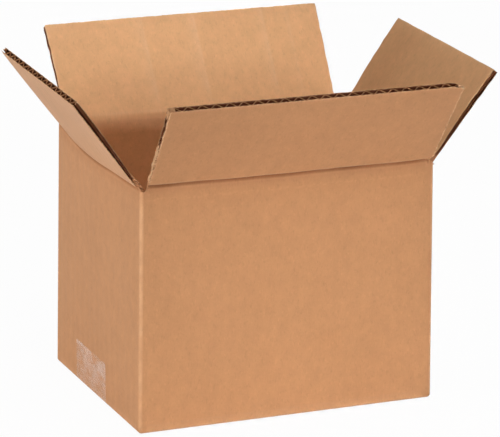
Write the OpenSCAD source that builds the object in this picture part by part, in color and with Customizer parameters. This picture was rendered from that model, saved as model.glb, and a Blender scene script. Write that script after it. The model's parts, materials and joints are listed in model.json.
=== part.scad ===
// Open corrugated shipping box with four upright-to-outward top flaps.
// The origin is the centre of the footprint on the surface, X runs along the length,
// the front panel faces -Y and Z is up. All sizes are in millimetres.

/* [Inside of the box] */
// Clear length between the end walls
inside_l = 178; // [130:1:300]
// Clear width between the long walls
inside_w = 128; // [90:1:200]
// Clear depth from the bottom flaps to the closed top flaps
inside_h = 133; // [80:1:250]

/* [Corrugated board] */
// Thickness of the board
board_t = 3.8; // [3.2:0.1:5]
// Thickness of each flat liner
liner_t = 0.5; // [0.4:0.05:0.7]
// Thickness of the waved paper between the liners
medium_t = 0.35; // [0.25:0.05:0.5]
// Length of one wave of the flutes
wave_l = 8.1; // [6.5:0.1:9]
// Outside radius of a folded edge
fold_r = 2; // [1:0.1:3]

/* [Top flaps] */
// Width of the slot between two neighbouring flaps
slot_w = 9.6; // [8.8:0.2:14]
// Gap that the two long flaps leave between them when closed
flap_gap = 3; // [1:0.5:10]
// Depth of the two end flaps
end_flap_d = 65.5; // [40:0.5:75]
// Outward lean of the front flap from upright
front_lean = 36; // [0:1:150]
// Outward lean of the back flap from upright
back_lean = 39; // [0:1:150]
// Outward lean of the left flap from upright
left_lean = 36; // [0:1:150]
// Outward lean of the right flap from upright
right_lean = 38; // [0:1:150]
// Crushed band without open flutes beside each crease
crush_d = 7; // [5.5:0.5:14]
// Clearance of the two edges that meet at a crease
crease_gap = 0.15; // [0.1:0.05:0.3]
// How far a slot is cut down past the lower crease
slot_over = 0.6; // [0.3:0.1:2]

/* [Bottom flaps] */
// Gap at the taped seam between the two long bottom flaps
seam_gap = 1; // [0.5:0.5:4]
// Depth of the two short bottom flaps
bottom_end_flap_d = 66; // [30:1:70]
// Clearance between boards that lie on each other
layer_gap = 0.2; // [0.2:0.05:0.5]

/* [Glued corner] */
// Width of the glued lap
lap_w = 32; // [20:1:45]
// Thickness of the crushed lap
lap_t = 2; // [1.5:0.1:3]
// How far the lap's ends taper in
lap_taper = 9; // [4:0.5:14]
// How far the cut edge stays back from the outside of the corner
cut_edge_inset = 0.6; // [0.3:0.1:1]
// Depth of the open flute along the cut edge
cut_edge_groove = 1.6; // [0.8:0.1:2.4]

/* [Sealing tape] */
// Width of the tape
tape_w = 48; // [36:1:60]
// Thickness of the tape
tape_t = 0.12; // [0.08:0.01:0.2]
// How far the tape rises up each end
tape_rise = 24.5; // [15:0.5:60]
// Offset of the tape from the middle, towards the back
tape_offset = 8.5; // [-12:0.5:12]
// Width of one of the teeth that the cutter leaves
tooth_w = 1.6; // [1.2:0.1:3]
// Height of those teeth
tooth_h = 0.9; // [0.4:0.1:1.5]
// Clearance of the tape above the surface
tape_lift = 0.03; // [0.02:0.01:0.1]

/* [Hidden] */
$fn = 48;

half_l = inside_l / 2 + board_t;
half_w = inside_w / 2 + board_t;
slot_half = slot_w / 2;

// levels, counted up from the surface
long_bottom_top = board_t;
end_bottom_low = long_bottom_top + layer_gap;
end_bottom_top = end_bottom_low + board_t;
low_crease_z = end_bottom_top + inside_h + board_t;
high_crease_z = low_crease_z + board_t + layer_gap;
slot_floor_z = low_crease_z - slot_over;
ring_top_z = low_crease_z - board_t - crease_gap - slot_over;

// flaps: the long ones meet over the middle of the box
long_flap_l = 2 * (half_l - slot_half);
end_flap_l = 2 * (half_w - slot_half);
long_flap_d = half_w - flap_gap / 2;

// the board is pressed up this far where the tape runs under it
tape_bed = tape_t + tape_lift;
// the tape bends tighter than the fold under it, so it stands a little clear there
tape_bend_r = 0.7 * fold_r;

// flutes: a sine wave between the liners, glued to them at its crests
flute_h = board_t - 2 * liner_t;
wave_amp = (flute_h - medium_t) / 2;
cell_share = 0.8;
cell_steps = 6;
// how far pieces reach into each other, and cuts past a face
join_lap = 0.01;
cut_over = 1;

board_color = "#c69263";
flap_color = "#d0a074";
tape_color = "#d9bfa0";

// height of the middle of the waved paper, from the middle of the board
function wave(x) = -wave_amp * cos(360 * x / wave_l);

// half thickness of the waved paper measured straight up
function half_medium(x) =
    let (slope = wave_amp * 2 * PI / wave_l * sin(360 * x / wave_l))
    medium_t / 2 * sqrt(1 + slope * slope);

// outline of the open cell over a trough at x = 0; side is 1 above the paper, -1 below
function cell_points(side) =
    let (w = cell_share * wave_l / 2, mid = board_t / 2)
    concat(
        [for (i = [0 : cell_steps])
            let (x = -w + 2 * w * i / cell_steps)
            [x, mid + side * (wave(x) + half_medium(x))]],
        [[w, mid + side * flute_h / 2], [-w, mid + side * flute_h / 2]]);

// open cells of a board that is len long, centred on x = 0
module flute_cells(len) {
    count = ceil(len / wave_l / 2) + 1;
    for (i = [-count : count]) {
        translate([i * wave_l, 0]) polygon(cell_points(1));
        translate([(i + 0.5) * wave_l, 0]) polygon(cell_points(-1));
    }
}

// end view of the board: two liners with the waved paper between them
module fluted_section(len) {
    difference() {
        translate([-len / 2, 0]) square([len, board_t]);
        flute_cells(len);
    }
}

// a flap that stands up from its crease along X, outer face at y = 0
module flap_board(len, depth) {
    translate([-len / 2, 0, 0])
        rotate([90, 0, 90])
            linear_extrude(len)
                polygon([[0, crease_gap], [board_t, crease_gap + board_t],
                         [board_t, crush_d], [0, crush_d]]);
    translate([0, 0, crush_d])
        linear_extrude(depth - crush_d)
            fluted_section(len);
}

// a rectangle with one radius at all four corners
module round_rect(low, high, r) {
    translate([low[0] + r, low[1]]) square([high[0] - low[0] - 2 * r, high[1] - low[1]]);
    translate([low[0], low[1] + r]) square([high[0] - low[0], high[1] - low[1] - 2 * r]);
    for (x = [low[0] + r, high[0] - r], y = [low[1] + r, high[1] - r])
        translate([x, y]) circle(r);
}

// plan of the folded walls: three folds, and the glued corner at the back right
module plan_outline() {
    round_rect([-half_l, -half_w], [half_l, half_w - board_t], fold_r);
    intersection() {
        round_rect([-half_l, -half_w], [half_l + fold_r, half_w], fold_r);
        translate([-half_l, 0]) square([2 * half_l - cut_edge_inset, half_w]);
    }
}

// a flat floor with rounded lower corners and straight sides
module cup_outline(half, low, high, r) {
    translate([-half, low + r]) square([2 * half, high - low - r]);
    translate([-half + r, low]) square([2 * (half - r), high - low]);
    for (side = [-1, 1]) translate([side * (half - r), low + r]) circle(r);
}

// runs an outline drawn in X and Z along Y, half to each side
module along_width(half) {
    rotate([90, 0, 0]) translate([0, 0, -half]) linear_extrude(2 * half) children();
}

// runs an outline drawn in Y and Z along X, half to each side
module along_length(half) {
    rotate([90, 0, 90]) translate([0, 0, -half]) linear_extrude(2 * half) children();
}

// outside of the folded box up to a level
module folded_block(top) {
    intersection() {
        linear_extrude(top) plan_outline();
        along_width(half_w + cut_over) cup_outline(half_l, 0, top + cut_over, fold_r);
        along_length(half_l + cut_over) cup_outline(half_w, 0, top + cut_over, fold_r);
    }
}

// box-shaped block between two corners
module block(low, high) {
    translate(low) cube([high[0] - low[0], high[1] - low[1], high[2] - low[2]]);
}

// space inside the four walls between two levels
module inside_space(low, high) {
    block([-inside_l / 2, -inside_w / 2, low], [inside_l / 2, inside_w / 2, high]);
}

// the four walls, with the raw end of the back panel left open along its flute
module walls() {
    difference() {
        folded_block(ring_top_z);
        inside_space(-cut_over, ring_top_z + cut_over);
    }
}

// short posts that carry the folded corners up to the slots
module corner_posts() {
    post_x = half_l - slot_half + crease_gap;
    post_y = half_w - slot_half + crease_gap;
    intersection() {
        difference() {
            folded_block(slot_floor_z);
            inside_space(-cut_over, slot_floor_z + cut_over);
        }
        union() for (side_x = [0, 1], side_y = [0, 1])
            mirror([side_x, 0, 0]) mirror([0, side_y, 0])
                block([post_x, post_y, ring_top_z - cut_over],
                      [half_l + cut_over, half_w + cut_over, slot_floor_z + cut_over]);
    }
}

// top of one wall, bevelled inwards for the flap that folds over it
module wall_top(len, crease_z) {
    translate([-len / 2, 0, 0])
        rotate([90, 0, 90])
            linear_extrude(len)
                polygon([[0, ring_top_z - join_lap], [board_t, ring_top_z - join_lap],
                         [board_t, crease_z - crease_gap - board_t], [0, crease_z - crease_gap]]);
}

// puts a child made for the front wall on each long wall
module on_long_walls() {
    for (turn = [0, 180])
        rotate([0, 0, turn]) translate([0, -half_w, 0]) children();
}

// puts a child made for the front wall on each end wall
module on_end_walls() {
    for (turn = [-90, 90])
        rotate([0, 0, turn]) translate([0, -half_l, 0]) children();
}

// bottom flaps: the long pair below, the short pair above it
module bottom_flaps() {
    intersection() {
        folded_block(board_t);
        union() for (side = [0, 1]) mirror([0, side, 0])
            block([-half_l + slot_half, seam_gap / 2, 0], [half_l - slot_half, half_w + cut_over, board_t]);
    }
    for (side = [0, 1]) mirror([side, 0, 0])
        block([half_l - bottom_end_flap_d, -half_w + slot_half, end_bottom_low],
              [half_l - board_t / 2, half_w - slot_half, end_bottom_top]);
}

// the lap that is glued to the inside of the back panel, tapered at both ends
module glue_lap() {
    low = end_bottom_top + layer_gap;
    high = ring_top_z - layer_gap;
    right = inside_l / 2;
    translate([0, inside_w / 2 + join_lap, 0])
        rotate([90, 0, 0])
            linear_extrude(lap_t + join_lap)
                polygon([[right + join_lap, low], [right + join_lap, high],
                         [right - lap_w, high - lap_taper], [right - lap_w, low + lap_taper]]);
}

// open flute along the cut edge of the back panel
module cut_edge_flute() {
    block([half_l - cut_edge_inset - cut_edge_groove, half_w - board_t + liner_t, fold_r + board_t],
          [half_l + cut_over, half_w - liner_t, slot_floor_z + cut_over]);
}

module carton() {
    color(board_color)
        difference() {
            union() {
                walls();
                corner_posts();
                on_long_walls() wall_top(long_flap_l, high_crease_z);
                on_end_walls() wall_top(end_flap_l + 2 * crease_gap, low_crease_z);
                bottom_flaps();
                glue_lap();
            }
            cut_edge_flute();
            block([-half_l - cut_over, tape_offset - tape_w / 2, -cut_over],
                  [half_l + cut_over, tape_offset + tape_w / 2, tape_bed]);
        }
}

module front_flap() {
    color(flap_color)
        translate([0, -half_w, high_crease_z])
            rotate([front_lean, 0, 0]) flap_board(long_flap_l, long_flap_d);
}

module back_flap() {
    color(flap_color)
        rotate([0, 0, 180]) translate([0, -half_w, high_crease_z])
            rotate([back_lean, 0, 0]) flap_board(long_flap_l, long_flap_d);
}

module left_flap() {
    color(flap_color)
        rotate([0, 0, -90]) translate([0, -half_l, low_crease_z])
            rotate([left_lean, 0, 0]) flap_board(end_flap_l, end_flap_d);
}

module right_flap() {
    color(flap_color)
        rotate([0, 0, 90]) translate([0, -half_l, low_crease_z])
            rotate([right_lean, 0, 0]) flap_board(end_flap_l, end_flap_d);
}

// toothed ends that the cutter leaves, seen along X, between y = -tape_w / 2 and tape_w / 2
module tape_side() {
    teeth = round(tape_w / tooth_w);
    step = tape_w / teeth;
    translate([-tape_w / 2, 0])
        polygon(concat(
            [[tape_w, 0], [0, 0]],
            [for (i = [0 : teeth - 1]) each [
                [i * step, tape_rise - tooth_h],
                [(i + 0.5) * step, tape_rise]]],
            [[tape_w, tape_rise - tooth_h]]));
}

module sealing_tape() {
    color(tape_color)
        translate([0, tape_offset, 0])
            intersection() {
                along_width(tape_w / 2)
                    difference() {
                        cup_outline(half_l + tape_t, tape_lift, tape_rise + cut_over, tape_bend_r + tape_t);
                        cup_outline(half_l, tape_bed, tape_rise + 2 * cut_over, tape_bend_r);
                    }
                along_length(half_l + cut_over) tape_side();
            }
}

carton();
front_flap();
back_flap();
left_flap();
right_flap();
sealing_tape();
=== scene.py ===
import json
import math

import bmesh
import bpy
import numpy as np
from mathutils import Matrix, Vector


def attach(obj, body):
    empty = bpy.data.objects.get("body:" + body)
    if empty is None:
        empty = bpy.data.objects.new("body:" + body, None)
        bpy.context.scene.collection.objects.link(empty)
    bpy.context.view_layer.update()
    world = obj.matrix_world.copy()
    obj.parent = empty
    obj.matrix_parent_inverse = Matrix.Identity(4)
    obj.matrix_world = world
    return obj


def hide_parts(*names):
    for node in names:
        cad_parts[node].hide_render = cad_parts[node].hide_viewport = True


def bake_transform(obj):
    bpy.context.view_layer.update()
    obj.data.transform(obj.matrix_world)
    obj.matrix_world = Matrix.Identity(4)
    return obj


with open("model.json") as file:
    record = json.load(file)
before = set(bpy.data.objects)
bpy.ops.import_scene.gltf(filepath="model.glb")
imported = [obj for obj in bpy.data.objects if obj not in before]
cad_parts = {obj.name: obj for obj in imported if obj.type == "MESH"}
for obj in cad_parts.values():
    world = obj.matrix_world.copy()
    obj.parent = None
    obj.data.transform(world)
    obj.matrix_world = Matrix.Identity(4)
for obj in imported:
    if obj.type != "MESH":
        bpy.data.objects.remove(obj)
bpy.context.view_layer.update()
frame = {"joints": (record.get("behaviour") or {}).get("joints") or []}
scene = bpy.context.scene
mm = 0.001

# corrugated board, in metres, the same on every panel
board = {
    "thickness": 3.8 * mm,
    "liner": 0.34 * mm,  # flat paper on each side
    "web": 0.3 * mm,  # waved paper between the liners
    "frayedWeb": 1.35,  # how many times thicker the web's torn fibres make it at a cut
    "fluteWidth": 8.1 * mm,
    "foldRadius": 2.2 * mm,
    "columnStep": 1.35 * mm,  # mesh spacing across the flutes
    "rowStep": 4.0 * mm,  # mesh spacing along the flutes
    "showThrough": 0.03 * mm,  # how much the flutes print through the liners
    "unevenness": (0.13 * mm, 46 * mm),  # height and size of a panel's slow waves
    "seamBelowCrease": 8.0 * mm,  # where a flap's sheet takes over from the wall's
    "lowCreaseRise": 0.9 * mm,  # the end flaps' creases settle this far above their hinges
    "slotRecess": 0.7 * mm,  # depth of the gap between the liners at a slot's end
    "smoothAngle": 38,  # in degrees, past which an edge is shaded sharp
}
thick = board["thickness"]
flute = board["fluteWidth"]
foldRadius = board["foldRadius"]

# the line that the creasing wheel presses, with painted shade along it, and the band of painted
# shade that the flap's overhang casts under it
score = {
    "depth": 1.25 * mm,  # of its groove outside
    "width": 0.7 * mm,
    "inside": 0.12 * mm,  # depth of the groove inside
    "crush": (0.36 * mm, 0.3 * mm),  # how far the board round it is crushed, outside and inside
    "crushAt": -1.0 * mm,
    "crushWidth": 2.6 * mm,
    "stray": (0.25 * mm, 30 * mm),  # height and size of its waves
    "pressed": 0.45,  # how far the painted shade of the line goes towards the painted shade colour
    "pressedSize": 22 * mm,
    "toneAbove": 0.6 * mm,
    "toneBelow": 1.3 * mm,
    # the painted shade under the flap's overhang: how dark, and how far down the wall it fades
    "dull": 0.22,
    "dullBelow": 8 * mm,
    "swayBelow": 24 * mm,  # how far down the wall a stray crease pulls the sheet
}

# what knife and handling do to a flap's edges
cut = {
    "fromTip": 3 * mm,  # how far in from the tip it shows
    "fromSide": 2.5 * mm,
    "belowCrease": 4 * mm,
    "tipWaves": ((0.10 * mm, 1.6 * mm), (0.08 * mm, 14 * mm)),  # height and size, fine and slow
    "sideWaves": ((0.12 * mm, 1.5 * mm), (0.22 * mm, 6 * mm)),
    "sideTrim": 0.1 * mm,
    "tipSqueeze": 0.10,
    "sideSqueeze": 0.12,
    "pinch": 0.5,  # beside the slots the board is crushed to half
    "pinchStart": 9 * mm,
    "pinchHeight": 24 * mm,
    "pinchWidth": 6 * mm,
}
knocked = {"side": "front", "size": 4 * mm, "shut": 0.5, "drop": 0.9 * mm}  # its right corner

jointOf = {joint["name"]: joint for joint in frame["joints"]}
halfLength = jointOf["right_flap_fold"]["pos_m"][0]
halfWidth = jointOf["back_flap_fold"]["pos_m"][1]
highCrease = jointOf["front_flap_fold"]["pos_m"][2]
lowCrease = jointOf["left_flap_fold"]["pos_m"][2] + board["lowCreaseRise"]
slotFloor = lowCrease - 0.2 * mm
slotHalf = 4.8 * mm

# Each panel with its flap, going round from the front, each seen from outside, in millimetres
# and degrees. lean is the flap's angle from upright at its left and right end. wider is how far
# the flap's left and right edge stand past the slot's knife line at the crease, and flare how
# much farther at the tip. bow is the belly of the crease and bulge that of the panel. sway lists
# where the crease strays up or down: place along it, width and height. mark is how strong the
# painted shade at the crease and under it is, post how far the torn corner stands up beside the
# slot, worn how far the flap's outside is painted pale, partly as rubbed wear and
# partly as painted sheen, and rubbed the place and width of pale streaks inside.
sides = {
    "front": {"lean": (36.7, 36.2), "wider": (0, 3.5), "flare": (3.0, -0.2), "depth": 66.1,
              "bow": 0.3, "bulge": 0.5, "sway": [(-20, 85, -1.25), (66, 18, -0.6)], "mark": 1.0,
              "post": 2.6, "worn": 0},
    "right": {"lean": (39.7, 35.6), "wider": (0.8, 0), "flare": (-0.4, 0.5), "depth": 65.2,
              "bow": 0.8, "bulge": 0.6, "sway": [(-66, 25, -2.2)], "mark": 0.6, "post": 0,
              "worn": 0.1},
    "back": {"lean": (36.6, 43.5), "wider": (0, 0), "flare": (1.3, -1.8), "depth": 65.6,
             "bow": 0.6, "bulge": 0.5, "sway": [], "mark": 0.7, "post": 1.0, "worn": 0,
             "rubbed": [(-7.7, 5), (-52, 3), (-69, 1.5), (26, 4)]},
    "left": {"lean": (36.1, 36.9), "wider": (0, 0), "flare": (-2.0, -0.6), "depth": 64.8,
             "bow": 2.1, "bulge": 0.7, "sway": [(-66, 22, 3.3), (-3, 30, -0.9)], "mark": 0.5,
             "post": 0, "worn": 0.38},
}
fold = {"from": -1.5 * mm, "to": 1.7 * mm}  # the stretch that bends, up the board from the crease
for index, (name, side) in enumerate(sides.items()):
    side["name"] = name
    side["turn"] = 90 * index
    isLong = index % 2 == 0
    side["half"], side["reach"] = (halfWidth, halfLength) if isLong else (halfLength, halfWidth)
    side["crease"] = highCrease if isLong else lowCrease
    side["seed"] = 11 + 7 * index
    side["shift"] = index * 37 * flute  # keeps the panels' paper patterns apart
    for length in ("depth", "bow", "bulge", "post"):
        side[length] *= mm
    side["flapHalf"] = side["reach"] - slotHalf

# the real box is a little out of square: how far each corner of the body is off, in millimetres
outOfSquare = {
    "floor": {"frontLeft": (0.5, -0.4, 0), "frontRight": (1.5, -0.9, 0),
              "backLeft": (-1.2, 0.6, 0), "backRight": (0, 0, 0)},
    "rim": {"frontLeft": (0.1, 0.3, 1.1), "frontRight": (-1.5, 0.7, 0.1),
            "backLeft": (-0.6, 1.2, 2.0), "backRight": (-0.2, 0, -0.7)},
}

# where each small part lies in the paper's pattern, in metres, so that no two look alike
patternAt = {"panel": 0.2, "inside": 2.1, "bottom": 1.1, "innerBottom": 1.3, "core": 1.9,
             "lap": 0.7, "torn": 2.3, "rim": 2.6, "corner": 2.9}
linerSlot, cutSlot, webSlot, insideSlot = range(4)  # the order of boardMaterials
seedSteps = {"tipCut": 0, "sideCut": 2, "face": 4, "fold": 5, "sag": 6, "score": 7, "pressure": 8}


def seedOf(side, what):
    return side["seed"] + seedSteps[what]


def ramp(x):  # a smooth step from 0 to 1
    x = np.clip(x, 0, 1)
    return x * x * (3 - 2 * x)


def bell(x, width):
    return np.exp(-((x / width) ** 2))


def wander(a, b, size, seed):  # slow waves of about unit height, size metres across
    rng = np.random.default_rng(seed)
    total = 0
    for _ in range(7):
        heading = rng.uniform(0, 2 * math.pi)
        rate = 2 * math.pi / (size * rng.uniform(0.6, 1.7))
        phase = rng.uniform(0, 2 * math.pi)
        total = total + np.sin(rate * (a * math.cos(heading) + b * math.sin(heading)) + phase)
    return total / 3.2


def wanderAlong(a, size, seed):
    return wander(a, 0 * a, size, seed)


def ragged(along, w, waves, seed):  # a fine wave that also runs through the board, and a slow one
    (fineHeight, fineSize), (slowHeight, slowSize) = waves
    fine = fineHeight * wander(along, w, fineSize, seed)
    return fine + slowHeight * wanderAlong(along, slowSize, seed + 1)


def pointGrid(*parts):  # puts coordinates together as points, spread over one grid
    return np.stack(np.broadcast_arrays(*parts), axis=-1)


def directions(side):  # along the panel to the right, and out of it, as seen from outside
    turn = math.radians(side["turn"])
    along = np.array([math.cos(turn), math.sin(turn), 0])
    return along, np.array([along[1], -along[0], 0])


# the board's own coordinates: u along the crease, s up from the crease, w in from the outer face

def leanAt(side, u):
    share = (u / side["flapHalf"] + 1) / 2
    first, last = side["lean"]
    return np.radians(first + (last - first) * share)


def swayAt(side, u, s):
    rise = 0 * u
    for at, width, height in side["sway"]:
        rise = rise + height * mm * bell(u - at * mm, width * mm)
    above = np.clip(1 - s / side["depth"], 0, 1) ** 1.5
    return rise * np.where(s < 0, bell(s, score["swayBelow"]), above)


def scoreLine(side, u):
    height, size = score["stray"]
    return height * wanderAlong(u, size, seedOf(side, "score"))


def creaseShade(side, u, s):
    # painted shade: a dark line along the score, and the band of painted shade under the flap's
    # overhang
    line = scoreLine(side, u)
    uneven = wanderAlong(u, score["pressedSize"], seedOf(side, "pressure"))
    above, below = np.maximum(s - line, 0), np.maximum(line - s, 0)
    pressed = bell(above, score["toneAbove"]) * np.exp(-below / score["toneBelow"])
    return -side["mark"] * (score["pressed"] * (1 + 0.2 * uneven) * pressed + overhangShadeBand(s))


# painted shade in a band under the crease, where the flap's overhang shades the wall; it fades down
# the wall
def overhangShadeBand(s):
    upTo = score["toneAbove"]
    fade = np.exp(np.minimum(s, 0) / score["dullBelow"])
    return score["dull"] * fade * ramp((upTo - s) / (2 * upTo))


# a smooth curve from the upright wall to the leaning flap: its points and outward normals
def foldPath(s, lean):
    start, end = fold["from"], fold["to"]
    span = end - start
    t = np.clip((s - start) / span, 0, 1)
    leanY, leanZ = -np.sin(lean), np.cos(lean)
    h0, h1 = 2 * t**3 - 3 * t**2 + 1, -2 * t**3 + 3 * t**2
    g0, g1 = t**3 - 2 * t**2 + t, t**3 - t**2
    y = h1 * end * leanY + g1 * span * leanY
    z = h0 * start + g0 * span + h1 * end * leanZ + g1 * span * leanZ
    dh0, dg0, dg1 = 6 * t**2 - 6 * t, 3 * t**2 - 4 * t + 1, 3 * t**2 - 2 * t
    ty = -dh0 * end * leanY + dg1 * span * leanY
    tz = dh0 * start + dg0 * span - dh0 * end * leanZ + dg1 * span * leanZ
    size = np.hypot(ty, tz)
    ty, tz = ty / size, tz / size
    below, above = s < start, s > end
    y = np.where(below, 0, np.where(above, s * leanY, y))
    z = np.where(below, s, np.where(above, s * leanZ, z))
    return y, z, tz, -ty


def settle(points, base):  # moves points by the out-of-square offset at base, in metres
    left = np.clip(0.5 - base[..., 0] / (2 * halfLength), 0, 1)[..., None]
    front = np.clip(0.5 - base[..., 1] / (2 * halfWidth), 0, 1)[..., None]
    up = np.clip(base[..., 2] / highCrease, 0, 1)[..., None]
    weights = {"frontLeft": left * front, "frontRight": (1 - left) * front,
               "backLeft": left * (1 - front), "backRight": (1 - left) * (1 - front)}
    moved = points
    for level, share in (("floor", 1 - up), ("rim", up)):
        for corner, weight in weights.items():
            moved = moved + share * weight * np.array(outOfSquare[level][corner]) * mm
    return moved


def toWorld(side, x, y, z):
    turn = math.radians(side["turn"])
    cos, sin, half = math.cos(turn), math.sin(turn), side["half"]
    out = y - half
    points = pointGrid(x * cos - out * sin, x * sin + out * cos, z + side["crease"])
    level = np.minimum(points[..., 2], side["crease"])
    return settle(points, pointGrid(x * cos + half * sin, x * sin - half * cos, level))


def panelPoint(side, u, s, w):
    u, s, w = np.broadcast_arrays(*[np.asarray(part, float) for part in (u, s, w)])
    flapHalf, depth, panelHalf = side["flapHalf"], side["depth"], side["reach"] - foldRadius
    reachedTip = np.clip(s / depth, 0, 1)
    lean = leanAt(side, u)
    # the knife leaves ragged edges and presses them thinner
    toTip = ramp((s - depth + cut["fromTip"]) / cut["fromTip"])
    toSide = ramp((np.abs(u) - flapHalf + cut["fromSide"]) / cut["fromSide"])
    toSide = toSide * ramp((s + cut["belowCrease"]) / cut["belowCrease"])
    s = s + toTip * ragged(u, w, cut["tipWaves"], seedOf(side, "tipCut"))
    sideEdge = ragged(s, w, cut["sideWaves"], seedOf(side, "sideCut"))
    share = (u / flapHalf + 1) / 2
    grown = ramp((s + 1 * mm) / (2.5 * mm))
    more = [grown * wide + reachedTip * flare for wide, flare in zip(side["wider"], side["flare"])]
    stretch = (more[1] * share - more[0] * (1 - share)) * mm
    sway = swayAt(side, u, s)
    u = u + toSide * np.sign(u) * (sideEdge - cut["sideTrim"])
    squeeze = 1 - cut["tipSqueeze"] * toTip**2 - cut["sideSqueeze"] * toSide**2
    w = thick / 2 + (w - thick / 2) * squeeze
    pinch = ramp(s / cut["pinchStart"]) * bell(s, cut["pinchHeight"])
    w = w * (1 - cut["pinch"] * pinch * bell(np.abs(u) - flapHalf, cut["pinchWidth"]))
    groove = bell(s - scoreLine(side, u), score["width"])
    crush = bell(s - score["crushAt"], score["crushWidth"])
    through = w / thick
    crushOutside, crushInside = score["crush"]
    w = w + (1 - through) * (score["depth"] * groove + crushOutside * crush)
    w = w - through * (score["inside"] * groove + crushInside * crush)
    # the flutes show faintly through both liners
    fade = ramp((panelHalf - np.abs(u)) / (5 * mm)) * (1 - crush)
    wave = np.cos(2 * math.pi * u / flute)
    w = w + board["showThrough"] * fade * ((1 - through) * (1 - wave) - through * (1 + wave))
    y, z, ny, nz = foldPath(s, lean)
    knock = 0
    if side["name"] == knocked["side"]:
        knock = bell(u - flapHalf, knocked["size"]) * bell(s - depth, knocked["size"])
    w = w * (1 - knocked["shut"] * knock)
    y, z = y + w * ny, z + w * nz + sway - knocked["drop"] * knock
    # bellies, and slow waves that die out towards the folds, the bottom and the tip
    across = np.clip(1 - (u / panelHalf) ** 2, 0, 1)
    up = np.clip(1 + s / side["crease"], 0, 1)
    lift = side["bulge"] * np.sin(math.pi * up) + side["bow"] * up**1.5
    y = y - across * np.where(s > 0, side["bow"] * (1 - reachedTip) ** 1.3, lift)
    calm = ramp((panelHalf - np.abs(u)) / (14 * mm)) * ramp(up / 0.1) * (1 - 0.85 * reachedTip)
    height, size = board["unevenness"]
    y = y - height * calm * wander(u, s, size, seedOf(side, "face"))
    return toWorld(side, u + stretch, y, z)


# meshes are gathered as patches, then merged into one closed skin

def newSkin():
    return {"points": [], "uv": [], "wear": [], "faces": [], "slot": [], "count": 0}


def addMesh(skin, points, uv, wear, faces, slot):
    skin["points"].append(points)
    skin["uv"].append(uv)
    skin["wear"].append(np.broadcast_to(wear, len(points)).astype(float))
    skin["faces"].append(np.asarray(faces, int) + skin["count"])
    skin["slot"].append(np.broadcast_to(slot, len(faces)).astype(int))
    skin["count"] += len(points)


def addPatch(skin, points, uv, wear, slot):
    rows, columns = points.shape[:2]
    corner = (np.arange(rows - 1)[:, None] * columns + np.arange(columns - 1)[None, :]).ravel()
    faces = np.stack([corner, corner + columns, corner + columns + 1, corner + 1], axis=1)
    uv = np.broadcast_to(uv, (rows, columns, 2)).reshape(-1, 2)
    wear = np.broadcast_to(wear, (rows, columns)).reshape(-1)
    addMesh(skin, points.reshape(-1, 3), uv, wear, faces, slot)


# outer and inner are matching grids of the two faces of a board, and edges close it all round
def addBlock(skin, outer, inner, uv, wear=0.0, faceSlots=(linerSlot, insideSlot), edgeSlot=cutSlot,
             openTop=False):
    addPatch(skin, outer, uv, wear, faceSlots[0])
    addPatch(skin, inner, uv + np.array([0.0, patternAt["inside"]]), wear, faceSlots[1])
    upTo = slice(0, -1) if openTop else slice(None)
    for pick in ((upTo, 0), (upTo, -1), (0, slice(None))):
        addPatch(skin, np.stack([outer[pick], inner[pick]]), uv[pick], 0.0, edgeSlot)
    top, low = outer[-1], inner[-1]
    if not openTop:
        addPatch(skin, np.stack([top, low]), uv[-1], 0.0, edgeSlot)
        return
    liner = board["liner"] / thick  # the gap between the liners shows
    layers = [(0, 0), (liner, 0), (liner, 1), (1 - liner, 1), (1 - liner, 0), (1, 0)]
    sink = np.array([0, 0, -board["slotRecess"]])
    rows = [top + (low - top) * share + sink * deep for share, deep in layers]
    addPatch(skin, np.stack(rows), uv[-1], 0.0, edgeSlot)
    for end in (0, -1):
        notch = np.array([outer[-2, end], inner[-2, end]] + [row[end] for row in rows])
        faces = [(0, 2, 3, 4), (0, 4, 5, 1), (1, 5, 6, 7)]
        addMesh(skin, notch, np.broadcast_to(uv[-1, end], (8, 2)), 0.0, faces, edgeSlot)


def makePiece(name, skin, materials):
    points, uv, wear, faces, slot = [np.concatenate(skin[part]) for part in
                                     ("points", "uv", "wear", "faces", "slot")]
    # two blocks that meet share a hidden face, and neither copy is wanted
    keys = np.round(points * 1e7).astype(np.int64)[faces]  # to 0.0001 mm
    order = np.lexsort((keys[..., 2], keys[..., 1], keys[..., 0]), axis=-1)
    keys = np.take_along_axis(keys, order[..., None], axis=1).reshape(len(faces), -1)
    _, which, copies = np.unique(keys, axis=0, return_inverse=True, return_counts=True)
    keep = copies[which.ravel()] == 1
    faces, slot = faces[keep], slot[keep]
    mesh = bpy.data.meshes.new(name)
    mesh.from_pydata(points.tolist(), [], faces.tolist())
    layer = mesh.uv_layers.new(name="boardUv")
    layer.data.foreach_set("uv", uv[faces.ravel()].astype(np.float32).ravel())
    # the attribute carries rubbed wear, painted shade at the creases, and painted sheen and
    # highlight
    mesh.attributes.new("wear", "FLOAT", "POINT").data.foreach_set("value", wear.astype(np.float32))
    mesh.polygons.foreach_set("material_index", slot.astype(np.int32))
    work = bmesh.new()
    work.from_mesh(mesh)
    bmesh.ops.remove_doubles(work, verts=work.verts, dist=2e-6)
    bmesh.ops.dissolve_degenerate(work, edges=work.edges, dist=1e-7)
    loose = [vert for vert in work.verts if not vert.link_faces]
    bmesh.ops.delete(work, geom=loose, context="VERTS")
    bmesh.ops.recalc_face_normals(work, faces=work.faces)
    openEdges = sum(1 for edge in work.edges if len(edge.link_faces) != 2)
    work.to_mesh(mesh)
    work.free()
    mesh.shade_smooth()
    mesh.set_sharp_from_angle(angle=math.radians(board["smoothAngle"]))
    for material in materials:
        mesh.materials.append(material)
    piece = bpy.data.objects.new(name, mesh)
    scene.collection.objects.link(piece)
    print("made", name, len(mesh.polygons), "faces,", openEdges, "edges not shared by two")
    return piece


def columnsFor(half):
    return np.linspace(-half, half, 2 * round(half / board["columnStep"]) + 1)


# nodes: each input gets a value, or the socket that feeds it, or a node for its first output

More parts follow.
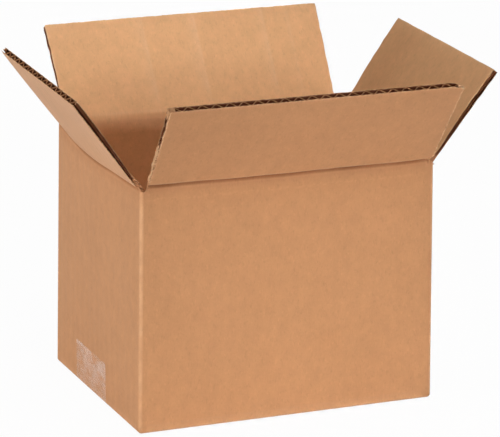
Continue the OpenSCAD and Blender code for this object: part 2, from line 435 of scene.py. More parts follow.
def feed(tree, node, inputs):
    for name, value in inputs.items():
        if isinstance(value, bpy.types.Node):
            value = value.outputs[0]
        if isinstance(value, bpy.types.NodeSocket):
            tree.links.new(value, node.inputs[name])
        else:
            node.inputs[name].default_value = value


def addNode(tree, kind, inputs=None, **settings):
    node = tree.nodes.new(kind)
    for name, value in settings.items():
        setattr(node, name, value)
    feed(tree, node, inputs or {})
    return node


def maths(tree, operation, *values, clamp=False):
    inputs = dict(enumerate(values))
    return addNode(tree, "ShaderNodeMath", inputs, operation=operation, use_clamp=clamp)


# the waved paper between the liners, as a flat run that panelPoint bends into place

webAmplitude = (thick - 2 * board["liner"] - board["web"]) / 2
# mesh columns to a flute, rows along it, one row's share of the run, and the frayed row's length
webMesh = {"columns": 12, "rows": 11, "rowShare": 0.1, "frayed": 0.6 * mm}


def makeFluteTree():
    tree = bpy.data.node_groups.new("flutedWeb", "GeometryNodeTree")
    kinds = {"Length": "Float", "Depth": "Float", "Flute Width": "Float", "Wave Height": "Float",
             "Paper": "Float", "Columns": "Int", "Rows": "Int", "Material": "Material"}
    for name, kind in kinds.items():
        tree.interface.new_socket(name, in_out="INPUT", socket_type="NodeSocket" + kind)
    tree.interface.new_socket("Geometry", in_out="OUTPUT", socket_type="NodeSocketGeometry")
    given = addNode(tree, "NodeGroupInput").outputs
    grid = addNode(tree, "GeometryNodeMeshGrid", {
        "Size X": given["Length"], "Size Y": given["Depth"],
        "Vertices X": given["Columns"], "Vertices Y": given["Rows"]})
    position = addNode(tree, "GeometryNodeInputPosition")
    x = addNode(tree, "ShaderNodeSeparateXYZ", {0: position}).outputs["X"]
    turns = maths(tree, "DIVIDE", x, given["Flute Width"])
    wave = maths(tree, "COSINE", maths(tree, "MULTIPLY", turns, 2 * math.pi))
    height = maths(tree, "MULTIPLY", wave, given["Wave Height"])
    offset = addNode(tree, "ShaderNodeCombineXYZ", {"Z": maths(tree, "MULTIPLY", height, -1.0)})
    bend = addNode(tree, "GeometryNodeSetPosition", {"Geometry": grid, "Offset": offset})
    # half the paper goes below the wave and half above it
    normal = addNode(tree, "GeometryNodeInputNormal")
    halfPaper = maths(tree, "MULTIPLY", given["Paper"], -0.5)
    drop = addNode(tree, "ShaderNodeVectorMath", {0: normal, "Scale": halfPaper}, operation="SCALE")
    lower = addNode(tree, "GeometryNodeSetPosition", {"Geometry": bend, "Offset": drop})
    extrude = addNode(tree, "GeometryNodeExtrudeMesh", {
        "Mesh": lower, "Offset Scale": given["Paper"], "Individual": False})
    flip = addNode(tree, "GeometryNodeFlipFaces", {"Mesh": lower})
    join = addNode(tree, "GeometryNodeJoinGeometry")
    for half in (extrude, flip):
        feed(tree, join, {0: half})
    merge = addNode(tree, "GeometryNodeMergeByDistance", {"Geometry": join, "Distance": 1e-6})
    realize = addNode(tree, "GeometryNodeRealizeInstances", {0: merge})
    finish = addNode(tree, "GeometryNodeSetMaterial", {
        "Geometry": realize, "Material": given["Material"]})
    addNode(tree, "NodeGroupOutput", {"Geometry": finish})
    return tree


def fluteRun(half):
    holder = bpy.data.objects.new("fluteRun", bpy.data.meshes.new("fluteRun"))
    scene.collection.objects.link(holder)
    modifier = holder.modifiers.new("web", "NODES")
    modifier.node_group = fluteTree
    values = {"Length": 2 * half, "Depth": 1.0, "Flute Width": flute, "Wave Height": webAmplitude,
              "Paper": board["web"], "Columns": round(2 * half / flute * webMesh["columns"]) + 1,
              "Rows": webMesh["rows"], "Material": boardMaterials[webSlot]}
    for item in fluteTree.interface.items_tree:
        if item.in_out == "INPUT":
            modifier[item.identifier] = values[item.name]
    holder.update_tag()
    depsgraph = bpy.context.evaluated_depsgraph_get()
    flat = bpy.data.meshes.new_from_object(holder.evaluated_get(depsgraph))
    bpy.data.objects.remove(holder)
    points = np.array([vert.co for vert in flat.vertices], float)
    faces = np.array([list(polygon.vertices) for polygon in flat.polygons], int)
    bpy.data.meshes.remove(flat)
    return points, faces


# two liners and the web between them; place(u, s, w) puts a point of the board into the world
def addFlutedBoard(skin, place, half, start, end, shift, rows, wear=0.0, innerWear=0.0):
    u, s = columnsFor(half), rows[:, None]
    liner, frayedLength = board["liner"], webMesh["frayed"]
    uv = pointGrid(u + shift, s + patternAt["panel"])
    addBlock(skin, place(u, s, 0), place(u, s, liner), uv, wear, (linerSlot, webSlot))
    addBlock(skin, place(u, s, thick - liner), place(u, s, thick), uv, innerWear,
             (webSlot, insideSlot))
    points, faces = fluteRun(half)
    # the last row lies close to the cut, where the paper is frayed and looks thicker
    along = points[:, 1] + 0.5
    lastRow = along > 0.999
    share = np.clip(along / (1 - webMesh["rowShare"]), 0, 1)
    webS = start + (end - frayedLength - start) * share + frayedLength * lastRow
    middle = -webAmplitude * np.cos(2 * math.pi * points[:, 0] / flute)
    height = middle + (points[:, 2] - middle) * np.where(lastRow, board["frayedWeb"], 1)
    webUv = np.stack([points[:, 0] + shift, webS], axis=-1)
    frayed = np.all(along[faces] > 1 - webMesh["rowShare"] - 0.001, axis=1)
    webPoints = place(points[:, 0], webS, thick / 2 + height)
    webWear = 0.12 + 0.16 * wanderAlong(webS, 11 * mm, round(shift / flute) + 3)
    webWear = np.clip(webWear, 0, 1) * (np.abs(points[:, 0]) > half - 1.4 * mm)
    addMesh(skin, webPoints, webUv, webWear, faces, np.where(frayed, cutSlot, webSlot))


# paper, film and floor

def linearColor(color):  # a colour as written, 0 to 255, in the renderer's own measure
    shares = [value / 255 for value in color]
    return (*(c / 12.92 if c < 0.04045 else ((c + 0.055) / 1.055) ** 2.4 for c in shares), 1)


def newMaterial(name):
    material = bpy.data.materials.new(name)
    material.use_nodes = True
    tree = material.node_tree
    tree.nodes.clear()
    shader = addNode(tree, "ShaderNodeBsdfPrincipled")
    addNode(tree, "ShaderNodeOutputMaterial", {"Surface": shader})
    return material, tree, shader


# the paper's patterns: the name of its strength in a look, waves per metre along and up, turn,
# detail and roughness
paperPatterns = [
    ("clouds", (24, 19), 0, 3, 0.55),
    ("mottle", (150, 110), 20, 3, 0.6),
    ("streaks", (420, 24), 0, 2, 0.55),
    ("fibres", (1500, 420), 32, 2, 0.55),
    ("fibres", (1400, 380), -41, 2, 0.55),
    ("fibres", (420, 1300), 8, 2, 0.55),
]
# sparse short flecks: waves per metre, turn, and how pale or dark
fleckPatterns = [((640, 300), 14, -1), ((560, 260), -17, -0.7), ((600, 280), -6, 0.8)]
rubPattern = ((900, 300), 0, 3)  # breaks up where the paper is rubbed


def paperMaterial(name, look):
    material, tree, shader = newMaterial(name)
    uv = addNode(tree, "ShaderNodeUVMap", uv_map="boardUv")
    # rubbed wear, painted sheen and painted highlight above zero; painted shade at the creases
    # below zero
    worn = addNode(tree, "ShaderNodeAttribute", attribute_name="wear").outputs["Fac"]

    def noise(scale, turn, detail, roughness=0.55):
        mapping = addNode(tree, "ShaderNodeMapping", {
            "Vector": uv, "Rotation": (0, 0, math.radians(turn)), "Scale": (*scale, 1)})
        texture = addNode(tree, "ShaderNodeTexNoise", {
            "Vector": mapping, "Scale": 1.0, "Detail": detail, "Roughness": roughness})
        return texture.outputs["Fac"]

    def mix(factor, first, second):
        node = addNode(tree, "ShaderNodeMix", {"Factor": factor, "A": first, "B": second},
                       data_type="RGBA")
        return node.outputs["Result"]

    x = addNode(tree, "ShaderNodeSeparateXYZ", {0: uv}).outputs["X"]
    wave = maths(tree, "COSINE", maths(tree, "MULTIPLY", x, 2 * math.pi / flute))
    tone = maths(tree, "MULTIPLY_ADD", wave, look["fluteLines"], 1.0)
    for part, scale, turn, detail, roughness in paperPatterns:
        field = maths(tree, "SUBTRACT", noise(scale, turn, detail, roughness), 0.5)
        tone = maths(tree, "ADD", tone, maths(tree, "MULTIPLY", field, look[part]))
    for scale, turn, amount in fleckPatterns:
        over = maths(tree, "SUBTRACT", noise(scale, turn, 1), look["fleckLimit"])
        over = maths(tree, "MULTIPLY", over, 8, clamp=True)
        tone = maths(tree, "ADD", tone, maths(tree, "MULTIPLY", over, amount * look["flecks"]))
    # above zero the attribute makes the paper pale: rubbed wear, and on the left flap's outside and
    # round the corner folds partly painted sheen and highlight; below zero it is painted shade at
    # the creases
    rubbed = maths(tree, "MULTIPLY", worn, maths(tree, "ADD", noise(*rubPattern), 0.45))
    pressed = maths(tree, "MULTIPLY", worn, -1.0, clamp=True)
    color, wornColor, pressedColor = [linearColor(look[part]) for part in
                                      ("color", "wornColor", "pressedColor")]
    paper = mix(pressed, mix(rubbed, color, wornColor), pressedColor)
    shade = addNode(tree, "ShaderNodeVectorMath", {0: paper, "Scale": tone}, operation="SCALE")
    bump = addNode(tree, "ShaderNodeBump", {
        "Strength": look["bump"], "Distance": look["bumpHeight"], "Height": tone})
    feed(tree, shader, {
        "Base Color": shade, "Roughness": look["roughness"], "Normal": bump,
        "Specular IOR Level": look["specular"], "Sheen Weight": look["sheen"],
        "Sheen Roughness": look["sheenRoughness"]})
    if look["sheen"]:  # the sheen is taken off where shade is painted, so that the painted shade stays brown
        sheenOffPaintedShade = maths(tree, "MULTIPLY_ADD", pressed, -1.2 * look["sheen"], look["sheen"])
        feed(tree, shader, {"Sheen Weight": sheenOffPaintedShade})
    return material


linerLook = {
    "color": (199, 145, 102),
    # the pale colour of rubbed wear, also used for painted sheen and highlight
    "wornColor": (228, 181, 139),
    # the colour towards which shade is painted at the creases
    "pressedColor": (110, 48, 8),
    "clouds": 0.16,
    "mottle": 0.22,
    "streaks": 0.02,
    "fibres": 0.07,
    "fluteLines": 0.003,
    "flecks": 0.07,
    "fleckLimit": 0.6,
    "roughness": 0.65,
    "specular": 0.12,
    "sheen": 0.4,
    "sheenRoughness": 0.28,
    "bump": 0.35,
    "bumpHeight": 0.06 * mm,
}
insideLook = {**linerLook, "color": (234, 182, 133), "wornColor": (243, 205, 163),
              "specular": 0.02, "sheen": 0.02}
cutLook = {**linerLook, "color": (172, 120, 82), "wornColor": (238, 198, 156), "clouds": 0.25,
           "streaks": 0.25, "fibres": 0.5, "flecks": 0.3, "roughness": 0.95, "specular": 0.1,
           "sheen": 0}
# the web's dark brown is partly its own paper and partly painted shade of the shaded cut edges and
# flute hollows
webLook = {**linerLook, "color": (98, 52, 29), "wornColor": (205, 132, 96), "clouds": 0.2,
           "fibres": 0.25, "roughness": 0.9, "fluteLines": 0.0, "specular": 0.1, "sheen": 0}
boardLooks = {"linerPaper": linerLook, "cutPaper": cutLook, "webPaper": webLook,
              "insidePaper": insideLook}
boardMaterials = [paperMaterial(name, look) for name, look in boardLooks.items()]

tapeLook = {
    "color": (255, 226, 204),
    "alpha": (0.05, 0.28),  # where it touches the board, and in the blotches where it doesn't
    "climb": (0.5, 1.35),  # how far that holds at the bottom edge, and at the top end
    "blotches": (90, 90, 190),  # per metre
    "fadeIn": (0.35, 0.7),  # noise levels between which a blotch fades in
    "roughness": 0.2,
    "specular": 0.9,
    "bump": 0.4,
    "width": 48 * mm,
    "rise": 26 * mm,  # up each end panel
    "offset": 8.5 * mm,  # towards the back
    "clear": 0.05 * mm,  # off the board
    "film": 0.09 * mm,
    "recess": 0.17 * mm,  # how far the bottom is pressed up over it
    "lift": 0.03 * mm,
    "toothHeight": 0.9 * mm,
    "teeth": 30,
    "seed": 61,
}


def tapeMaterial(look):
    material, tree, shader = newMaterial("tapeFilm")
    coords = addNode(tree, "ShaderNodeTexCoord").outputs["Object"]
    mapping = addNode(tree, "ShaderNodeMapping", {"Vector": coords, "Scale": look["blotches"]})
    blotch = addNode(tree, "ShaderNodeTexNoise", {"Vector": mapping, "Scale": 1.0, "Detail": 3})
    (start, end), (thin, milky) = look["fadeIn"], look["alpha"]
    level = addNode(tree, "ShaderNodeMapRange", {
        "Value": blotch, "From Min": start, "From Max": end, "To Min": thin, "To Max": milky})
    height = addNode(tree, "ShaderNodeSeparateXYZ", {0: coords}).outputs["Z"]
    low, high = look["climb"]
    climb = addNode(tree, "ShaderNodeMapRange", {
        "Value": height, "From Max": look["rise"], "To Min": low, "To Max": high})
    bump = addNode(tree, "ShaderNodeBump", {
        "Strength": look["bump"], "Distance": 0.2 * mm, "Height": blotch})
    feed(tree, shader, {
        "Base Color": linearColor(look["color"]), "Roughness": look["roughness"], "IOR": 1.5,
        "Specular IOR Level": look["specular"], "Normal": bump,
        "Alpha": maths(tree, "MULTIPLY", level, climb)})
    return material


tapeFilm = tapeMaterial(tapeLook)
fluteTree = makeFluteTree()
print("materials and flute tree ready")

# the folded body: four panels, four corners and the bottom

bottomTurn = np.radians(np.linspace(0, 90, 6))
lowSeam = lowCrease - board["seamBelowCrease"]
highSeam = highCrease - board["seamBelowCrease"]
straightCount = round((lowSeam - foldRadius) / board["rowStep"]) + 1
rimRows = highSeam + (slotFloor - highSeam) * np.array([0.35, 0.7, 1])
zRows = np.concatenate([foldRadius * (1 - np.cos(bottomTurn)),
                        np.linspace(foldRadius, lowSeam, straightCount)[1:],
                        [(lowSeam + highSeam) / 2, highSeam], rimRows])
insetRows = np.zeros(len(zRows))
insetRows[:len(bottomTurn)] = foldRadius * (1 - np.sin(bottomTurn))


def wallPoint(side, u, z, w, inset=0.0):
    _, outward = directions(side)
    return panelPoint(side, u, z - side["crease"], w) - np.asarray(inset)[..., None] * outward


def wallUv(side, along, z):
    return pointGrid(along + side["shift"], z - side["crease"] + patternAt["panel"])


# the torn end of a slot climbs from the fold to the long flap's crease
def slotRows(z, wing, post):
    climb = np.clip((z - highSeam) / (slotFloor - highSeam), 0, 1)
    return z + climb * np.maximum(wing * (highCrease - slotFloor - 0.5 * mm), post)


def addPanel(skin, side):
    count = np.searchsorted(zRows, side["crease"] - board["seamBelowCrease"] + 1e-6)
    z, inset = zRows[:count, None], insetRows[:count, None]
    u = columnsFor(side["flapHalf"])
    wear = 0.35 * bell(z - 0.4 * foldRadius, 1.6 * mm) + creaseShade(side, u, z - side["crease"])
    addBlock(skin, wallPoint(side, u, z, 0, inset), wallPoint(side, u, z, thick),
             wallUv(side, u, z), wear)


def wingOf(side, share):  # share is 0 at the fold and 1 at the flap's edge
    return share**1.4 if side["crease"] == highCrease else 0 * share


# the inner faces of two panels up to the corner where they meet
def innerCorner(side, nextSide, columns, z):
    walk = np.linspace(0, 2, columns)
    first = walk <= 1
    uA = np.interp(walk, [0, 1], [side["flapHalf"], side["reach"] - thick])[first]
    uB = np.interp(walk, [1, 2], [thick - nextSide["reach"], -nextSide["flapHalf"]])[~first]
    z = np.broadcast_to(z, (len(z), columns))
    return np.concatenate([wallPoint(side, uA, z[:, first], thick),
                           wallPoint(nextSide, uB, z[:, ~first], thick)], axis=1)


def addCorner(skin, side, nextSide):
    z, inset = zRows[:, None], insetRows[:, None]
    share = np.linspace(0, 1, 5)
    flatA = side["reach"] - foldRadius - (slotHalf - foldRadius) * share[::-1]
    flatB = -(nextSide["reach"] - foldRadius) + (slotHalf - foldRadius) * share
    bend = np.radians(np.linspace(0, 90, 10))[1:-1]
    turn = np.linspace(0, 1, len(bend) + 2)[1:-1]
    post = side["post"]
    posts = [post + 0 * share, post * (1 - 0.3 * turn), 0.7 * post * (1 - share)]
    wings = [wingOf(side, share[::-1]), 0 * turn, wingOf(nextSide, share)]
    zA, zArc, zB = [slotRows(z, wing, post) for wing, post in zip(wings, posts)]
    radius = np.maximum(foldRadius - inset, 0)
    x = side["reach"] - foldRadius + radius * np.sin(bend)
    y = foldRadius - radius * np.cos(bend)
    sA, sB = z - side["crease"], z - nextSide["crease"]
    sway = swayAt(side, side["reach"], sA) * (1 - turn)
    sway = sway + swayAt(nextSide, -nextSide["reach"], sB) * turn
    outer = np.concatenate([wallPoint(side, flatA, zA, 0, inset),
                            toWorld(side, x, y, zArc - side["crease"] + sway),
                            wallPoint(nextSide, flatB, zB, 0, inset)], axis=1)
    zInner = slotRows(z, np.concatenate(wings), np.concatenate(posts))
    inner = innerCorner(side, nextSide, outer.shape[1], zInner)
    along = np.concatenate([flatA, side["reach"] + bend * foldRadius,
                            side["reach"] + 4 * mm + flatB - flatB[0]])
    # the rounded fold is painted pale, partly as rubbed wear and partly as a painted highlight
    # where the fold catches the light
    rubbed = np.concatenate([0 * share, np.sin(2 * bend), 0 * share]) ** 0.8
    wear = np.clip(rubbed * (0.4 + 0.16 * wanderAlong(z, 9 * mm, seedOf(side, "fold"))), 0, 1)
    # painted shade under the overhang of both panels' flaps, blended round the corner
    shadeA, shadeB = side["mark"] * overhangShadeBand(sA), nextSide["mark"] * overhangShadeBand(sB)
    if side["post"] > 2 * mm:  # here the painted shade of the crease's line runs on to the very corner
        shadeA = shadeA + 0.5 * np.clip(1 - (slotFloor - z) / (1.3 * mm), 0, 1)
    toNext = np.concatenate([0 * share, turn, 1 + 0 * share])
    wear = wear - shadeA * (1 - toNext) - shadeB * toNext
    addBlock(skin, outer, inner, wallUv(side, along, z), wear, openTop=True)


# the glued corner: the back panel ends in a cut edge with an open flute
glueCorner = {"edgeInset": 0.6 * mm, "grooveDepth": 1.6 * mm, "foldRadius": 1.0 * mm,
              "lapWidth": 32 * mm, "lapThickness": 2.0 * mm, "lapTaper": 9 * mm, "lapSeed": 91}


def addGlueCorner(skin, side, nextSide):
    z, inset = zRows[:, None], insetRows[:, None]
    radius, liner = glueCorner["foldRadius"], board["liner"]
    edgeX = halfLength - glueCorner["edgeInset"]
    grooveX = edgeX - glueCorner["grooveDepth"]
    inside = halfWidth - thick
    centerX, centerY = halfLength - radius, inside - radius
    plan = [(halfLength, v) for v in (side["flapHalf"], side["reach"] - thick - radius)]
    plan += [(centerX + radius * math.cos(a), centerY + radius * math.sin(a))
             for a in np.radians(np.linspace(0, 90, 6))[1:]]
    plan += [(edgeX, inside), (edgeX, inside + liner), (grooveX, inside + liner),
             (grooveX, halfWidth - liner), (edgeX, halfWidth - liner), (edgeX, halfWidth)]
    plan += [(v, halfWidth) for v in np.linspace(edgeX - 1 * mm, nextSide["flapHalf"], 3)]
    plan = np.array(plan)
    tuck = np.linspace(0, 1, len(plan))
    outer = pointGrid(plan[:, 0] - inset * (1 - tuck), plan[:, 1] - inset * tuck, z)
    outer = settle(outer, outer)
    for column, panel, u in ((0, side, side["flapHalf"]), (-1, nextSide, -nextSide["flapHalf"])):
        outer[:, column] = wallPoint(panel, u, z[:, 0], 0, inset[:, 0])
    steps = np.concatenate([[0], np.cumsum(np.hypot(*np.diff(plan, axis=0).T))])
    uv = wallUv(side, steps + side["flapHalf"], z)
    addBlock(skin, outer, innerCorner(side, nextSide, len(plan), z), uv, 0.0,
             (cutSlot, insideSlot), openTop=True)


def addLap(skin):  # crushed thin and glued inside the back panel
    low, high = bottomFlaps["innerLevel"] + thick + 0.2 * mm, lowCrease - thick - 1 * mm
    along = np.linspace(0, glueCorner["lapWidth"], 12)
    share = np.linspace(0, 1, 30)[:, None]
    taper = glueCorner["lapTaper"] * along / glueCorner["lapWidth"]
    z = low + taper + share * (high - low - 2 * taper)
    x = halfLength - thick - along + 0 * share
    back = pointGrid(x, halfWidth - thick + 0.1 * mm, z)
    front = back - np.array([0, glueCorner["lapThickness"] + 0.1 * mm, 0])
    front[..., 1] -= 0.12 * mm * wander(x, z, 20 * mm, glueCorner["lapSeed"])
    uv = pointGrid(x + patternAt["lap"], z)
    addBlock(skin, settle(back, back), settle(front, back), uv, 0.0, (insideSlot, linerSlot))


# the long pair of bottom flaps outside, and the short pair inside on top of it
bottomFlaps = {"seamHalf": 0.15 * mm, "innerReach": 66 * mm, "innerLevel": 4.0 * mm,
               "pressedSlope": 1.5 * mm}


def addOuterBottom(skin):
    tapeLow = tapeLook["offset"] - tapeLook["width"] / 2
    tapeHigh = tapeLook["offset"] + tapeLook["width"] / 2
    slope = bottomFlaps["pressedSlope"]
    x = columnsFor(sides["front"]["flapHalf"])
    for sign in (-1, 1):
        y = sign * np.linspace(halfWidth - thick, bottomFlaps["seamHalf"], 24)[:, None]
        # the board is pressed up a little where the tape runs under it
        pressed = ramp((y - tapeLow + slope) / slope) * ramp((tapeHigh + slope - y) / slope)
        low = pointGrid(x, y, tapeLook["recess"] * pressed)
        high = settle(pointGrid(x, y, thick), low)
        addBlock(skin, settle(low, low), high, pointGrid(x + patternAt["bottom"], y))


def addInnerBottom(skin, side):
    along, outward = directions(side)
    reach = bottomFlaps["innerReach"]

    def place(u, s, w):
        u, s, w = np.broadcast_arrays(u, s, w)
        sag = 0.25 * mm * wander(u, s, 60 * mm, seedOf(side, "sag")) * ramp(s / (20 * mm))
        edge = 0.12 * mm * wander(u, w, 2 * mm, seedOf(side, "tipCut"))
        edge = edge * ramp((s - reach + 4 * mm) / (4 * mm))
        out = halfLength - thick - 0.2 * mm - s - edge
        points = outward * out[..., None] + along * u[..., None]
        points[..., 2] = bottomFlaps["innerLevel"] + w + np.maximum(sag, 0)
        return settle(points, points)

    rows = np.linspace(0, reach, 20)
    shift = side["shift"] + patternAt["innerBottom"]
    addFlutedBoard(skin, place, side["flapHalf"], 30 * mm, reach - 0.15 * mm, shift, rows)


def makeCarton():
    skin = newSkin()
    order = list(sides.values())
    for side, nextSide in zip(order, order[1:] + order[:1]):
        addPanel(skin, side)
        if side["name"] == "right":
            addGlueCorner(skin, side, nextSide)
            addLap(skin)
        else:
            addCorner(skin, side, nextSide)
    addOuterBottom(skin)
    for name in ("left", "right"):
        addInnerBottom(skin, sides[name])
    piece = makePiece("cartonBoard", skin, boardMaterials)
    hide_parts("carton")
    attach(piece, "carton_body")


# a flap with the top of its panel, in one sheet over the crease

creaseRows = np.array([0, 0.22, 0.45, 0.7, 1, 1.35, 1.75, 2.3, 3, 4, 5.2, 6.5, 8]) * mm
flapMesh = {"middleRows": 16, "webStart": 5.5 * mm, "coreEnd": 6.6 * mm, "coreColumns": 90,
            "edgeWear": 0.6 * mm, "rubbedSeed": 81,
            "bendStart": (-3.4 * mm, -1.2 * mm),  # of the front and back flap, of the end flaps
            "bendLength": 6.4 * mm}
tornEdge = {"width": 1.1 * mm, "out": 0.45 * mm, "taper": 3 * mm, "seed": 71}
frayedRim = {"rows": 150, "seed": 73}


# a lump of crushed board between two levels of w
def addLump(skin, side, u, s, levels, uv, wear):
    outer, inner = [panelPoint(side, across, s, level) for across, level in zip(u, levels)]
    addBlock(skin, outer, inner, uv, wear, (cutSlot, cutSlot))


def addTornEdge(skin, side, start, stop, wear):
    taper, seed = tornEdge["taper"], tornEdge["seed"]
    w = np.linspace(0.03 * mm, thick - 0.03 * mm, 9)
    s = np.linspace(start, stop, round((stop - start) / (0.6 * mm)))[:, None]
    end = ramp((start + taper - s) / taper)
    if stop < side["depth"]:
        end = end + ramp((s - stop + taper) / taper)
    rough = 0.2 * mm * wander(w * 1.5, s, 2.6 * mm, seed)
    rough = rough + 0.22 * mm * wander(0 * w, s, 7 * mm, seed + 1)
    outer = -side["flapHalf"] - tornEdge["out"] + rough + 2 * tornEdge["out"] * end
    inner = -side["flapHalf"] + tornEdge["width"]
    addLump(skin, side, (outer, inner), s, (w, w), pointGrid(w + patternAt["torn"], s), wear)


# paper fibres stand out along a liner's cut edge; end is -1 for the left edge and 1 for the right
def addFrayedRim(skin, side, end, inside, start, size):
    seed = frayedRim["seed"]
    s = np.linspace(start, side["depth"] - 0.4 * mm, frayedRim["rows"])[:, None]
    reach = 0.55 + 0.45 * wanderAlong(s, 3.2 * mm, seed + end)
    reach = size * (reach + 0.2 * wanderAlong(s, 1 * mm, seed + 1))
    u = side["flapHalf"] - 0.5 * mm + np.linspace(0, 1, 4) * (0.45 * mm + reach)
    u = end * u
    levels = (thick - 0.3 * mm, thick + 0.1 * mm) if inside else (-0.15 * mm, 0.32 * mm)
    wear = np.clip(0.8 + 0.3 * wanderAlong(s, 4 * mm, seed + 2), 0, 1)
    addLump(skin, side, (u, u), s, levels, pointGrid(u + patternAt["rim"], s), wear)


def addCrushedCorner(skin, side, end, length, depth, low, high, wear):  # in millimetres
    u = end * (side["flapHalf"] + np.linspace(-length, 0, 9) * mm)
    s = side["depth"] + np.linspace(-depth, 0.02, 6)[:, None] * mm
    uv = pointGrid(u + patternAt["corner"], s)
    addLump(skin, side, (u, u), s, (low * mm, high * mm), uv, wear)


# the damage to the flaps' edges: what adds it, and what that is given after skin and side; the
# front flap's left edge is torn shut beside the crease, and both its corners are crushed shut
edgeDamage = {
    "front": [
        (addTornEdge, 0.5 * mm, 34 * mm, 0.45),
        (addTornEdge, 57.5 * mm, 66.1 * mm, 0.2),
        (addFrayedRim, -1, True, 32 * mm, 0.2 * mm),
        (addFrayedRim, -1, False, 32 * mm, 0.2 * mm),
        (addCrushedCorner, 1, 3.7, 2.5, 0.17, 3.6, 0.9),
        (addCrushedCorner, 1, 1.9, 1.2, -0.12, 3.85, 0.9),
        (addCrushedCorner, -1, 3.2, 1.5, 0.17, 3.6, 0.3),
        (addFrayedRim, 1, False, 1.5 * mm, 0.45 * mm),
    ],
    "left": [(addFrayedRim, 1, False, 1.5 * mm, 0.15 * mm)],
}


def flapWearAndPaintedLight(side, u, s):  # of the outer and the inner liner
    depth, flapHalf, width = side["depth"], side["flapHalf"], flapMesh["edgeWear"]
    shoulders = bell(np.abs(s) - 1.7 * mm, width)
    edges = bell(s - depth, width) + bell(np.abs(u) - flapHalf, width)
    inner = np.clip(0.12 * shoulders + 0.6 * edges * (s > 0), 0, 1)
    # the outside also gets the painted shade at the crease, and a pale tone that is partly rubbed
    # wear and partly painted sheen
    outer = inner + creaseShade(side, u, s) + side["worn"] * ramp(s / (3 * mm))
    for at, size in side.get("rubbed", []):  # pale streaks that end sharply on one side
        past = (u - at * mm) / (size * mm)
        streak = ramp(past * 5) * np.exp(-np.maximum(past, 0)) * ramp(s / (18 * mm))
        inner = inner + 0.3 * streak * (1 + 0.25 * wander(u, s, 12 * mm, flapMesh["rubbedSeed"]))
    return outer, inner


def makeFlap(side):
    skin = newSkin()
    depth, flapHalf = side["depth"], side["flapHalf"]
    tip = np.array([-2.0, -1.2, -0.6, 0]) * mm + depth
    middle = np.linspace(creaseRows[-1], tip[0], flapMesh["middleRows"])[1:-1]
    rows = np.concatenate([-creaseRows[:0:-1], creaseRows, middle, tip])

    def place(u, s, w):
        return panelPoint(side, u, s, w)

    wear, innerWear = flapWearAndPaintedLight(side, columnsFor(flapHalf), rows[:, None])
    addFlutedBoard(skin, place, flapHalf, flapMesh["webStart"], depth - 0.05 * mm, side["shift"],
                   rows, wear, innerWear)
    # the board is crushed shut along the crease
    u = np.linspace(-flapHalf + 0.15 * mm, flapHalf - 0.15 * mm, flapMesh["coreColumns"])
    s = rows[rows < flapMesh["coreEnd"]][:, None]
    w = board["liner"] * 0.8
    addBlock(skin, place(u, s, w), place(u, s, thick - w), pointGrid(u + patternAt["core"], s), 0.0,
             (webSlot, webSlot))
    for addDamage, *values in edgeDamage.get(side["name"], []):
        addDamage(skin, side, *values)
    piece = makePiece(side["name"] + "FlapBoard", skin, boardMaterials)
    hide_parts(side["name"] + "_flap")
    # the start and end, on the panel's middle line, of the stretch below the slots' ends where the
    # sheet bends
    low = flapMesh["bendStart"][0 if side["crease"] == highCrease else 1]
    start = panelPoint(side, 0.0, low, thick / 2)
    end = panelPoint(side, 0.0, low + flapMesh["bendLength"], thick / 2)
    along, _ = directions(side)
    end = end - along * np.dot(end - start, along)  # so that end lies straight out from start, not along the crease
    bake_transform(piece)


def makeTape():
    skin = newSkin()
    look, radius = tapeLook, foldRadius
    columns = 2 * look["teeth"] + 1
    y = look["offset"] + np.linspace(-look["width"] / 2, look["width"] / 2, columns)
    top = look["rise"] - np.where(np.arange(columns) % 2 == 0, look["toothHeight"], 0)
    climb = np.linspace(0, 1, 14)[:, None]
    bend = np.radians(np.linspace(90, 0, 9))[1:, None]

    def tapeEnd(side, sign, gap):  # up an end panel, and round the fold below it
        z = radius + (top - radius) * climb
        wall = panelPoint(side, sign * y, z - side["crease"], -gap)
        wall[..., 0] += sign * look["lift"] * (1 + wander(y, z, 9 * mm, look["seed"]))
        x = np.abs(wall[0, :, 0]) - (radius + gap) * (1 - np.sin(bend))
        level = radius - (radius + gap - look["lift"]) * np.cos(bend)
        return wall, pointGrid(sign * x, wall[0, :, 1], np.maximum(level, look["recess"] - gap))

    def layer(gap):
        leftWall, leftTurn = tapeEnd(sides["left"], -1, gap)
        rightWall, rightTurn = tapeEnd(sides["right"], 1, gap)
        x = np.linspace(-halfLength + radius, halfLength - radius, 60)[2:-2, None]
        under = pointGrid(x, y, look["recess"] - gap)
        return np.concatenate([leftWall[::-1], leftTurn, settle(under, under), rightTurn[::-1],
                               rightWall])

    near, far = layer(look["clear"]), layer(look["clear"] + look["film"])
    uv = pointGrid(np.arange(len(near))[:, None] * mm, y)
    addBlock(skin, far, near, uv, 0.0, (0, 0), 0)  # all of the film's one material
    piece = makePiece("tapeStrip", skin, [tapeFilm])
    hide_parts("sealing_tape")
    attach(piece, "carton_body")


makeCarton()
for side in sides.values():
    makeFlap(side)
makeTape()

# floor, light and camera

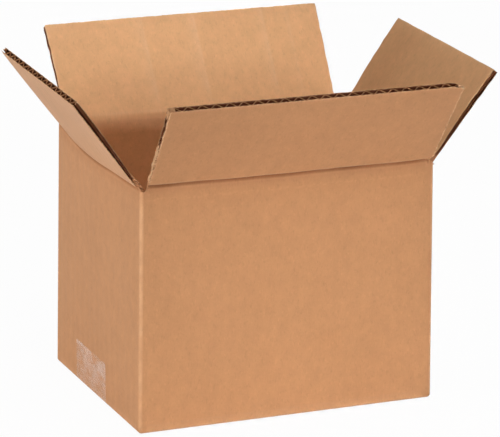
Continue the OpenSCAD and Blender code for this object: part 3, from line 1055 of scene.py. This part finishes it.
studio = {
    "world": 0.056,
    "floorSize": 30,
    "floorColor": (242, 242, 242),
    "floorGlow": 0.97,  # how far the floor is lifted towards white for the camera
    "lights": {
        "keyRight": {"at": (1.4, -1.5, 1.6), "size": 1.4, "power": 8.7},
        "left": {"at": (-2.2, -0.4, 0.14), "size": 1.4, "height": 0.25, "power": 31},
        "top": {"at": (0.1, 0.1, 2.4), "size": 1.4, "power": 16.5},
        "back": {"at": (0.5, 2.3, 0.7), "size": 1.2, "power": 8},
        "lowFront": {"at": (0.2, -2.2, 0.45), "size": 0.35, "spread": 15,
                     "aim": (0.01, -0.12, -0.05), "power": 0.325},
        "floorFront": {"at": (0, -0.9, 1.9), "size": 0.4, "spread": 24, "aim": (0, -0.34, 0),
                       "power": 0.1},
        "flapLight": {"at": (0.1, -2.3, 1.0), "size": 0.3, "spread": 7,
                      "aim": (0.03, 0.1, 0.215), "power": 0.09},
    },
}


def seenShare(tree, most):  # most for what is seen, mirrored or seen through, nothing for light
    rays = addNode(tree, "ShaderNodeLightPath").outputs
    seen = maths(tree, "MAXIMUM", rays["Is Camera Ray"], rays["Is Glossy Ray"])
    seen = maths(tree, "MAXIMUM", seen, rays["Is Transmission Ray"])
    return maths(tree, "MULTIPLY", seen, most)


def makeRoom():
    world = bpy.data.worlds.new("softRoom")
    world.use_nodes = True
    tree = world.node_tree
    strength = maths(tree, "ADD", seenShare(tree, 1 - studio["world"]), studio["world"])
    feed(tree, tree.nodes["Background"], {"Color": (1, 1, 1, 1), "Strength": strength})
    scene.world = world
    bpy.ops.mesh.primitive_plane_add(size=studio["floorSize"], location=(0, 0, 0))
    floor = bpy.context.object
    floor.name = "floor"
    material, tree, shader = newMaterial("paleFloor")
    feed(tree, shader, {"Base Color": linearColor(studio["floorColor"]), "Roughness": 0.9,
                        "Specular IOR Level": 0.1})
    glow = addNode(tree, "ShaderNodeEmission", {"Color": (1, 1, 1, 1)})
    mixed = addNode(tree, "ShaderNodeMixShader", {
        0: seenShare(tree, studio["floorGlow"]), 1: shader, 2: glow})
    output = next(node for node in tree.nodes if node.type == "OUTPUT_MATERIAL")
    feed(tree, output, {"Surface": mixed})
    floor.data.materials.append(material)


def makeLamps():
    for name, lamp in studio["lights"].items():
        light = bpy.data.lights.new(name, "AREA")
        light.size = lamp["size"]
        light.energy = lamp["power"]
        light.spread = math.radians(lamp.get("spread", 180))
        if "height" in lamp:
            light.shape = "RECTANGLE"
            light.size_y = lamp["height"]
        holder = bpy.data.objects.new(name, light)
        holder.location = lamp["at"]
        aim = Vector(lamp.get("aim", (0, 0, 0.1))) - holder.location
        holder.rotation_euler = aim.to_track_quat("-Z", "Y").to_euler()
        scene.collection.objects.link(holder)


photo = {
    "azimuth": -23.15,
    "elevation": 17.2,
    "roll": 1.18,
    "distance": 2.002,
    "target": (3.35 * mm, 101.5 * mm),  # right of the middle, and height
    "focalPixels": 3358,
    "widthPixels": 500,
}


def makeCamera():
    turn, rise = math.radians(photo["azimuth"]), math.radians(photo["elevation"])
    flat = math.cos(rise)
    forward = Vector((-math.sin(turn) * flat, math.cos(turn) * flat, -math.sin(rise)))
    right = Vector((math.cos(turn), math.sin(turn), 0))
    up = right.cross(forward)
    target = right * photo["target"][0] + Vector((0, 0, photo["target"][1]))
    roll = math.radians(photo["roll"])
    rollRight = math.cos(roll) * right + math.sin(roll) * up
    rollUp = math.cos(roll) * up - math.sin(roll) * right
    data = bpy.data.cameras.new("photoCamera")
    data.sensor_width = 36
    data.lens = data.sensor_width * photo["focalPixels"] / photo["widthPixels"]
    data.clip_end = 50
    camera = bpy.data.objects.new("photoCamera", data)
    turned = Matrix((rollRight, rollUp, -forward)).transposed().to_4x4()
    camera.matrix_world = Matrix.Translation(target - forward * photo["distance"]) @ turned
    scene.collection.objects.link(camera)
    scene.camera = camera


makeRoom()
makeLamps()
makeCamera()
scene.view_settings.view_transform = "Standard"
print("studio and camera ready")
